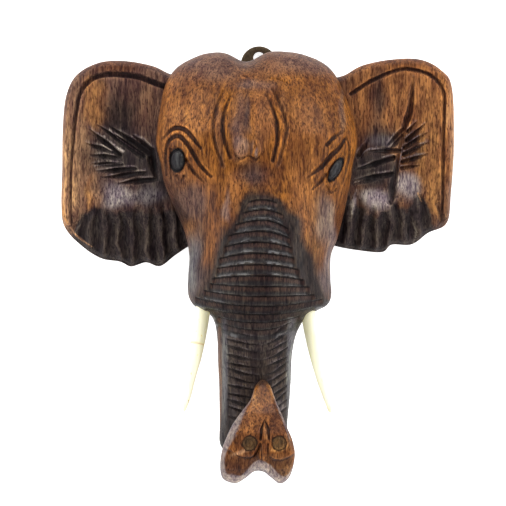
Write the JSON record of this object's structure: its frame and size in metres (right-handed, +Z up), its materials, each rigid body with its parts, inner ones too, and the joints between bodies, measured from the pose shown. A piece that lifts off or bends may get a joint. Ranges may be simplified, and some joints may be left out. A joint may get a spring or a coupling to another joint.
{
  "type": "carved wooden elephant head",
  "caption": "Carved wooden elephant head to hang on a wall, with spread fluted ears, a banded trunk with an upturned end, cream tusks and a brass hanging eye.",
  "frame": {"origin": "the middle of the hanging eye, on the wall plane", "axes": "+Z up, +X to the right of someone who faces the wall, +Y into the wall, so the face looks along -Y"},
  "size_m": [0.2122, 0.082, 0.2328],
  "materials": {
    "carved_wood": "oiled golden brown wood, scorched near black on the trunk, the lower ears and in the cuts",
    "tusk_cream": "smooth cream, bone-like, with brown flecks",
    "dark_brass": "dull old brass"
  },
  "bodies": {
    "root": {"carved_head": "carved_wood", "tusk_left": "tusk_cream", "tusk_right": "tusk_cream", "hanger_plate": "dark_brass", "hanger_screw_left": "dark_brass", "hanger_screw_right": "dark_brass"}
  },
  "joints": []
}
